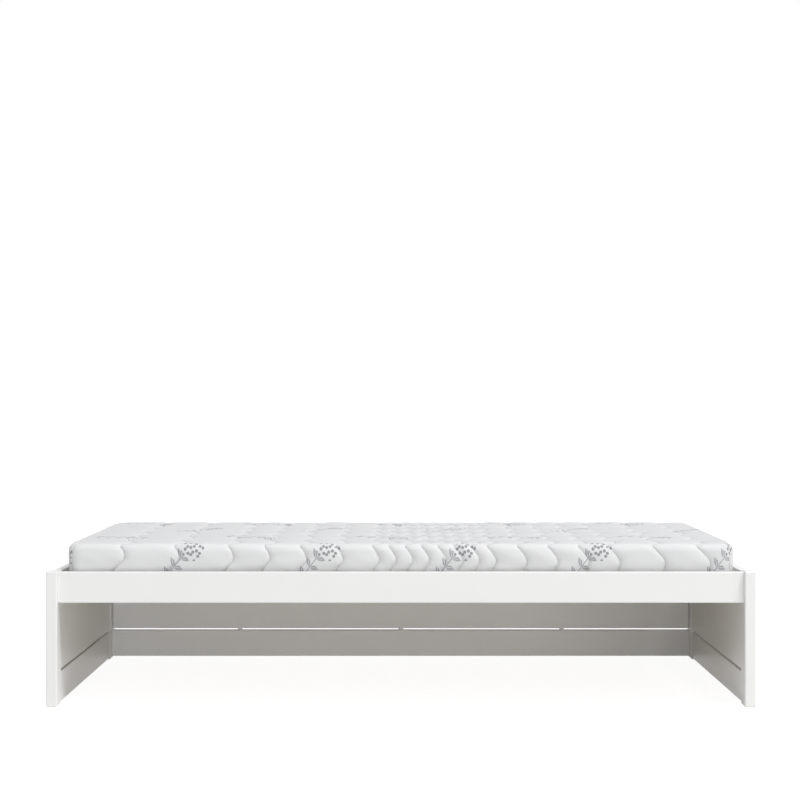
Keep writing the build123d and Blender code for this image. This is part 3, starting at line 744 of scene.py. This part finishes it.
# The berries are dots 11 units apart, in a round bunch at the sprig's tip
berries = add_node(tree, "ShaderNodeTexVoronoi", {
    "Vector": leaned.outputs[0], "Scale": 1 / 11, "Randomness": 0.65,
}, voronoi_dimensions="2D")
berry = add_node(tree, "ShaderNodeMapRange", {
    0: berries.outputs["Distance"], 1: 0.30, 2: 0.36, 3: 1.0, 4: 0.0,
})
from_bunch = add_node(tree, "ShaderNodeVectorMath", {
    0: leaned.outputs[0], 1: (62, 0, 0),
}, operation="DISTANCE")
bunch = add_node(tree, "ShaderNodeMath", {0: from_bunch.outputs["Value"], 1: 27.0}, operation="LESS_THAN")
fruit = add_node(tree, "ShaderNodeMath", {0: berry.outputs[0], 1: bunch.outputs[0]}, operation="MULTIPLY")
ink = add_node(tree, "ShaderNodeMath", {0: greenery.outputs[0], 1: fruit.outputs[0]}, operation="MAXIMUM")
ink_tone = add_node(tree, "ShaderNodeMix", {
    0: fruit.outputs[0], 6: linear("#A6A7A9"), 7: linear("#949598"),
}, data_type="RGBA")
printed = add_node(tree, "ShaderNodeMix", {
    0: ink.outputs[0], 6: yarn, 7: ink_tone.outputs[2],
}, data_type="RGBA")

# The quilting thread: white stitches 3 mm long in a line 1.2 mm wide, with a small shaded hole between
# each two
off_seam = add_node(tree, "ShaderNodeAttribute", attribute_name="seam_distance")
thread_line = add_node(tree, "ShaderNodeMapRange", {
    0: off_seam.outputs["Fac"], 1: 0.5, 2: 0.9, 3: 1.0, 4: 0.0,
})
stitch_step = add_node(tree, "ShaderNodeTexWave", {
    "Vector": cloth_map, "Scale": 0.628 / 0.003,
}, bands_direction="DIAGONAL")
thread = add_node(tree, "ShaderNodeMix", {
    0: stitch_step.outputs["Fac"], 6: linear("#A9A9AB"), 7: linear("#E6E6E6"),
}, data_type="RGBA")
quilted = add_node(tree, "ShaderNodeMix", {
    0: thread_line.outputs[0], 6: printed.outputs[2], 7: thread.outputs[2],
}, data_type="RGBA")
tree.links.new(quilted.outputs[2], shader.inputs["Base Color"])

marks = {"seam_distance": np.concatenate(seam_distance)}
cover_points, cover_faces, cover_cloth = joined(cover_patches)
cover = mesh_piece("quilted_cover", cover_points, cover_faces, knit, cover_cloth, marks)
close_openings(cover)
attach(cover, "mattress")
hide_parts("mattress_cover")


# The hem: a cord sewn into a strip of cloth runs round the cover's lower edge, where the underside joins
# it. Above it along the back a plastic coil zip lets the cover come off, its metal slider at the left end.

plain_knit = knitted_cloth("plain_white_knit", "#E4E4E2", "#DADAD8", 0.0022)[0]

# The zip's coil is moulded nylon: white and glossy, with a turn each 1.6 mm
coil_plastic, tree, shader = new_material("moulded_nylon_coil")
coil_map = add_node(tree, "ShaderNodeUVMap", uv_map="cloth").outputs["UV"]
turns = add_node(tree, "ShaderNodeTexWave", {
    "Vector": coil_map, "Scale": 0.314 / 0.0016,
}, bands_direction="X")
relief = add_node(tree, "ShaderNodeBump", {
    "Height": turns.outputs["Fac"], "Strength": 0.8, "Distance": 0.0006,
})
tree.links.new(relief.outputs["Normal"], shader.inputs["Normal"])
shader.inputs["Base Color"].default_value = linear("#E2E2E0")
shader.inputs["Roughness"].default_value = 0.4

hem_x = np.concatenate([
    columns, np.full(len(rows) - 2, half_length), columns[::-1], np.full(len(rows) - 2, -half_length),
])
hem_y = np.concatenate([
    np.full(len(columns), -half_width), rows[1:-1], np.full(len(columns), half_width), rows[-2:0:-1],
])


def hem_tube(plan_x, plan_y, height, out, radius, flatness, closed):
    """A cord along the cover's side at a height above its lower edge: its points, faces and cloth map.

    Round the cord at angle a it is radius (cos a) outwards and radius times flatness (sin a) up."""
    drop = np.full_like(plan_x, side_drop - height)
    middle, normal = wrapped(plan_x, plan_y, drop, *cover_form)
    middle = middle + normal * (side_form(plan_x, plan_y, drop) + out)[:, None]
    middle[:, 1] += mattress_middle
    angle = np.arange(10) * pi / 5
    upward = np.array([0, 0, radius * flatness])
    ring = np.cos(angle)[:, None] * normal[:, None, :] * radius + np.sin(angle)[:, None] * upward
    points = middle[:, None, :] + ring
    if closed:
        points = np.concatenate([points, points[:1]])
        middle = np.concatenate([middle, middle[:1]])
    travelled = np.concatenate([[0], np.cumsum(np.linalg.norm(np.diff(middle, axis=0), axis=1))])
    cloth = np.stack(np.broadcast_arrays(travelled[:, None], angle * radius), axis=-1)
    return points.reshape(-1, 3), grid_faces(len(points), 10, closed=True), cloth.reshape(-1, 2)


points, faces, cloth = hem_tube(hem_x, hem_y, 2.0, 0.5, 2.6, 1.0, closed=True)
piping = mesh_piece("hem_piping", points, faces, plain_knit, cloth)
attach(piping, "mattress")

zip_height = 12.0
zip_x = columns[abs(columns) < half_length - corner_radius]
zip_y = np.full(len(zip_x), half_width)
points, faces, cloth = hem_tube(zip_x, zip_y, zip_height, 0.6, 1.1, 3.0, closed=False)
coil = mesh_piece("zip_coil", points, faces, coil_plastic, cloth)
close_openings(coil)
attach(coil, "mattress")

# The slider is a waisted body 10 mm long, three times as high as thick
slider_profile = [(0.0, -5.0, 0), (1.2, -4.8, 0), (1.6, -3.0, 0), (1.3, 2.0, 0), (1.7, 4.6, 0), (0.0, 5.0, 0)]
slider_points, slider_faces = turned_grid(slider_profile, 20)
slider_points = slider_points * (1.0, 1.0, 2.6) + (zip_x[0] + 12, 0, 0)
slider_points[:, 1] += points[:, 1].max() + 0.2
slider_points[:, 2] += cover_bottom + zip_height
slider = mesh_piece("zip_slider", slider_points, slider_faces, zinc)
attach(slider, "mattress")


# The underside panel: plain knitted cloth with thin wadding, matt and faintly ribbed. It is sewn to the
# cover round the hem and lies flat on the slats.

panel_low, panel_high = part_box("mattress_base_panel")
panel_x, panel_y = 1000 * panel_high.x, 500 * (panel_high.y - panel_low.y)
panel_patches = []
panel_columns, panel_rows = spaced(-panel_x, panel_x, 14), spaced(-panel_y, panel_y, 14)
panel_drop = 1000 * (panel_high.z - panel_low.z) - 0.6
panel_drops = spaced(0, panel_drop, 1.2)
for x, y, drop in box_patches(panel_columns, panel_rows, panel_drops, panel_x, panel_y).values():
    points, normals = wrapped(x, y, drop, panel_x, panel_y, corner_radius - 3, 1.5, 0.0, 0.0)
    points = points * (1, 1, -1) + (0, mattress_middle, 1000 * panel_low.z)
    panel_patches.append((points, np.stack([x + np.sign(x) * drop, y], axis=-1)))
panel_points, panel_faces, panel_cloth = joined(panel_patches)
underside = mesh_piece("underside_panel", panel_points, panel_faces, plain_knit, panel_cloth)
close_openings(underside)
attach(underside, "mattress")
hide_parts("mattress_base_panel")


# The core: one block of pale polyurethane foam, cut with a hot wire. Its cut faces are dull and grainy,
# with open cells about 1 mm across.

foam, tree, shader = new_material("cut_polyurethane_foam")
place = add_node(tree, "ShaderNodeTexCoord").outputs["Object"]
open_cells = add_node(tree, "ShaderNodeTexVoronoi", {"Vector": place, "Scale": 1 / 0.0012})
age = add_node(tree, "ShaderNodeTexNoise", {"Vector": place, "Scale": 1 / 0.2, "Detail": 2.0})
aged = add_node(tree, "ShaderNodeMix", {
    0: age.outputs["Fac"], 6: linear("#EFE9D2"), 7: linear("#E3DBBE"),
}, data_type="RGBA")
relief = add_node(tree, "ShaderNodeBump", {
    "Height": open_cells.outputs["Distance"], "Strength": 0.5, "Distance": 0.0006,
})
tree.links.new(aged.outputs[2], shader.inputs["Base Color"])
tree.links.new(relief.outputs["Normal"], shader.inputs["Normal"])
shader.inputs["Roughness"].default_value = 0.95

core_low, core_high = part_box("mattress_core")
core_x, core_y = 1000 * core_high.x, 500 * (core_high.y - core_low.y)
core_drops = spaced(0, 1000 * (core_high.z - core_low.z), 5)
core_columns, core_rows = spaced(-core_x, core_x, 20), spaced(-core_y, core_y, 20)
core_patches = []
for x, y, drop in box_patches(core_columns, core_rows, core_drops, core_x, core_y).values():
    points, normals = wrapped(x, y, drop, core_x, core_y, 26.0, 8.0, 1000 * core_high.z, 0.0)
    core_patches.append((points + (0, mattress_middle, 0), np.stack([x, y], axis=-1)))
core_points, core_faces = joined(core_patches)[:2]
core = mesh_piece("foam_core", core_points, core_faces, foam)
close_openings(core)
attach(core, "mattress")
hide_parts("mattress_core")
